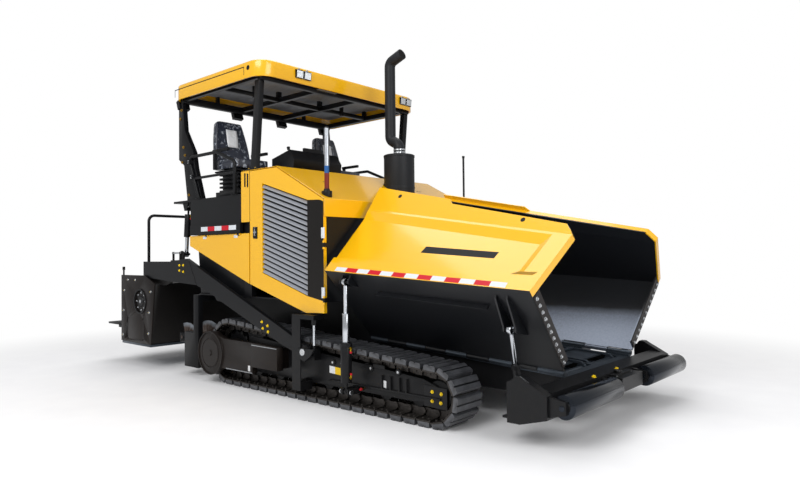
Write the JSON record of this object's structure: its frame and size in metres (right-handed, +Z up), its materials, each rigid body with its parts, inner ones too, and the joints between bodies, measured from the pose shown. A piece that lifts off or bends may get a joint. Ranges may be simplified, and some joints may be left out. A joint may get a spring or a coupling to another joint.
{
  "type": "tracked asphalt paver",
  "caption": "Road paver on crawler tracks: folding hopper wings, chain conveyors, engine house, canopied operator platform, augers and a towed screed.",
  "frame": {"origin": "on the ground, below the middle of the machine's length and width, with the tracks standing on z = 0", "axes": "+X forward to the hopper and push rollers, +Y to the machine's left, +Z up"},
  "size_m": [6.726, 2.636, 3.7464],
  "materials": {
    "yellow_paint": "gloss machine enamel",
    "frame_black": "satin chassis paint",
    "screed_paint": "satin chassis paint",
    "worn_steel": "worn by stone",
    "grey_slats": "satin grey",
    "track_rubber": "moulded pads on steel shoes",
    "rod_chrome": "hard chrome",
    "exhaust_steel": "heat-proof paint",
    "seat_cloth": "cloth under clear film",
    "console_plastic": "moulded"
  },
  "bodies": {
    "tractor": {"auger_hangers": "frame_black", "canopy_frame": "frame_black", "canopy_posts": "frame_black", "canopy_roof": "yellow_paint", "chassis": "frame_black", "console": "console_plastic", "conveyors": "worn_steel", "engine": "frame_black", "exhaust_pipe": "exhaust_steel", "final_drives": "frame_black", "front_beam": "frame_black", "handrails": "frame_black", "hood": "yellow_paint", "hood_posts": "frame_black", "hopper_floor": "worn_steel", "house_frame": "frame_black", "muffler": "exhaust_steel", "platform": "frame_black", "seat_bases": "frame_black", "seats": "seat_cloth", "tanks": "frame_black", "tow_brackets": "frame_black", "track_frames": "frame_black", "track_left": "track_rubber", "track_right": "track_rubber", "track_wheels": "worn_steel"},
    "wing_left": {"wing_plate_left": "worn_steel", "wing_skin_left": "yellow_paint"},
    "wing_right": {"wing_plate_right": "worn_steel", "wing_skin_right": "yellow_paint"},
    "wing_barrel_left": {"wing_barrel_left": "frame_black"},
    "wing_barrel_right": {"wing_barrel_right": "frame_black"},
    "wing_stage_left": {"wing_stage_left": "rod_chrome"},
    "wing_stage_right": {"wing_stage_right": "rod_chrome"},
    "wing_rod_left": {"wing_rod_left": "rod_chrome"},
    "wing_rod_right": {"wing_rod_right": "rod_chrome"},
    "strut_barrel_left": {"strut_barrel_left": "frame_black"},
    "strut_barrel_right": {"strut_barrel_right": "frame_black"},
    "strut_rod_left": {"strut_rod_left": "rod_chrome"},
    "strut_rod_right": {"strut_rod_right": "rod_chrome"},
    "push_roller_left": {"push_roller_left": "worn_steel"},
    "push_roller_right": {"push_roller_right": "worn_steel"},
    "auger_left": {"auger_left": "worn_steel"},
    "auger_right": {"auger_right": "worn_steel"},
    "screed": {"tow_arms": "frame_black", "screed_box": "screed_paint", "screed_ends": "frame_black", "screed_sole": "worn_steel", "screed_walkway": "frame_black"},
    "lift_barrel_left": {"lift_barrel_left": "frame_black"},
    "lift_barrel_right": {"lift_barrel_right": "frame_black"},
    "lift_rod_left": {"lift_rod_left": "rod_chrome"},
    "lift_rod_right": {"lift_rod_right": "rod_chrome"},
    "door_left": {"louvre_door_left": "yellow_paint", "door_slats_left": "grey_slats"},
    "door_right": {"louvre_door_right": "yellow_paint", "door_slats_right": "grey_slats"},
    "flap_left": {"side_flap_left": "yellow_paint"},
    "flap_right": {"side_flap_right": "yellow_paint"}
  },
  "joints": [
    {"name": "wing_left", "type": "hinge", "parent": "tractor", "child": "wing_left", "pos_m": [0.98, 0.66, 0.578], "axis": [-0.9983, 0, 0.0583], "range_deg": [0, 34]},
    {"name": "wing_right", "type": "hinge", "parent": "tractor", "child": "wing_right", "pos_m": [0.98, -0.66, 0.578], "axis": [0.9983, 0, -0.0583], "range_deg": [0, 34]},
    {"name": "wing_barrel_left", "type": "hinge", "parent": "tractor", "child": "wing_barrel_left", "pos_m": [1.245, 1.268, 0.185], "axis": [-0.9935, -0.1138, 0], "range_deg": [0, 23.02]},
    {"name": "wing_barrel_right", "type": "hinge", "parent": "tractor", "child": "wing_barrel_right", "pos_m": [1.245, -1.268, 0.185], "axis": [0.9935, -0.1138, 0], "range_deg": [0, 23.02]},
    {"name": "wing_stage_left", "type": "slide", "parent": "wing_barrel_left", "child": "wing_stage_left", "axis": [0, 0, 1], "range_m": [-0.2471, 0]},
    {"name": "wing_stage_right", "type": "slide", "parent": "wing_barrel_right", "child": "wing_stage_right", "axis": [0, 0, 1], "range_m": [-0.2471, 0]},
    {"name": "wing_rod_left", "type": "slide", "parent": "wing_stage_left", "child": "wing_rod_left", "axis": [0, 0, 1], "range_m": [-0.1521, 0]},
    {"name": "wing_rod_right", "type": "slide", "parent": "wing_stage_right", "child": "wing_rod_right", "axis": [0, 0, 1], "range_m": [-0.1521, 0]},
    {"name": "strut_barrel_left", "type": "hinge", "parent": "tractor", "child": "strut_barrel_left", "pos_m": [2.826, 0.967, 0.238], "axis": [-0.9965, -0.0794, 0.0266], "range_deg": [0, 29.29]},
    {"name": "strut_barrel_right", "type": "hinge", "parent": "tractor", "child": "strut_barrel_right", "pos_m": [2.826, -0.967, 0.238], "axis": [0.9965, -0.0794, -0.0266], "range_deg": [0, 29.29]},
    {"name": "strut_rod_left", "type": "slide", "parent": "strut_barrel_left", "child": "strut_rod_left", "axis": [0.0083, 0.2217, 0.9751], "range_m": [-0.218, 0]},
    {"name": "strut_rod_right", "type": "slide", "parent": "strut_barrel_right", "child": "strut_rod_right", "axis": [0.0083, -0.2217, 0.9751], "range_m": [-0.218, 0]},
    {"name": "push_roller_left", "type": "hinge", "parent": "tractor", "child": "push_roller_left", "pos_m": [3.278, 0.735, 0.326], "axis": [0, 1, 0], "continuous": true},
    {"name": "push_roller_right", "type": "hinge", "parent": "tractor", "child": "push_roller_right", "pos_m": [3.278, -0.735, 0.326], "axis": [0, 1, 0], "continuous": true},
    {"name": "auger_left", "type": "hinge", "parent": "tractor", "child": "auger_left", "pos_m": [-1.76, 0.6, 0.42], "axis": [0, 1, 0], "continuous": true},
    {"name": "auger_right", "type": "hinge", "parent": "tractor", "child": "auger_right", "pos_m": [-1.76, -0.6, 0.42], "axis": [0, 1, 0], "continuous": true},
    {"name": "screed_lift", "type": "hinge", "parent": "tractor", "child": "screed", "pos_m": [0.681, 0, 0.482], "axis": [0, 1, 0], "range_deg": [-4.2, 0]},
    {"name": "lift_barrel_left", "type": "hinge", "parent": "tractor", "child": "lift_barrel_left", "pos_m": [-1.57, 1.15, 1.96], "axis": [0, 1, 0], "range_deg": [-0.1, 4]},
    {"name": "lift_barrel_right", "type": "hinge", "parent": "tractor", "child": "lift_barrel_right", "pos_m": [-1.57, -1.15, 1.96], "axis": [0, 1, 0], "range_deg": [-0.1, 4]},
    {"name": "lift_rod_left", "type": "slide", "parent": "lift_barrel_left", "child": "lift_rod_left", "axis": [-0.0922, 0, -0.9957], "range_m": [0, 0.1806]},
    {"name": "lift_rod_right", "type": "slide", "parent": "lift_barrel_right", "child": "lift_rod_right", "axis": [-0.0922, 0, -0.9957], "range_m": [0, 0.1806]},
    {"name": "door_left", "type": "hinge", "parent": "tractor", "child": "door_left", "pos_m": [0.898, 1.212, 1.3], "axis": [0, 0, -1], "range_deg": [0, 90]},
    {"name": "door_right", "type": "hinge", "parent": "tractor", "child": "door_right", "pos_m": [0.898, -1.212, 1.3], "axis": [0, 0, 1], "range_deg": [0, 90]},
    {"name": "flap_left", "type": "hinge", "parent": "tractor", "child": "flap_left", "pos_m": [-0.77, 1.212, 1.624], "axis": [1, 0, 0], "range_deg": [0, 80]},
    {"name": "flap_right", "type": "hinge", "parent": "tractor", "child": "flap_right", "pos_m": [-0.77, -1.212, 1.624], "axis": [-1, 0, 0], "range_deg": [0, 80]}
  ],
  "couplings": [
    {"joint": "wing_barrel_left", "follows": "wing_left", "ratio": 0.6625},
    {"joint": "wing_barrel_right", "follows": "wing_right", "ratio": 0.6625},
    {"joint": "wing_stage_left", "follows": "wing_left", "m_per_rad": -0.41137},
    {"joint": "wing_stage_right", "follows": "wing_right", "m_per_rad": -0.41137},
    {"joint": "wing_rod_left", "follows": "wing_left", "m_per_rad": -0.2512},
    {"joint": "wing_rod_right", "follows": "wing_right", "m_per_rad": -0.2512},
    {"joint": "strut_barrel_left", "follows": "wing_left", "ratio": 0.8467},
    {"joint": "strut_barrel_right", "follows": "wing_right", "ratio": 0.8467},
    {"joint": "strut_rod_left", "follows": "wing_left", "m_per_rad": -0.36235},
    {"joint": "strut_rod_right", "follows": "wing_right", "m_per_rad": -0.36235},
    {"joint": "lift_barrel_left", "follows": "screed_lift", "ratio": -0.88145},
    {"joint": "lift_barrel_right", "follows": "screed_lift", "ratio": -0.88145},
    {"joint": "lift_rod_left", "follows": "screed_lift", "m_per_rad": -2.4225},
    {"joint": "lift_rod_right", "follows": "screed_lift", "m_per_rad": -2.4225}
  ]
}
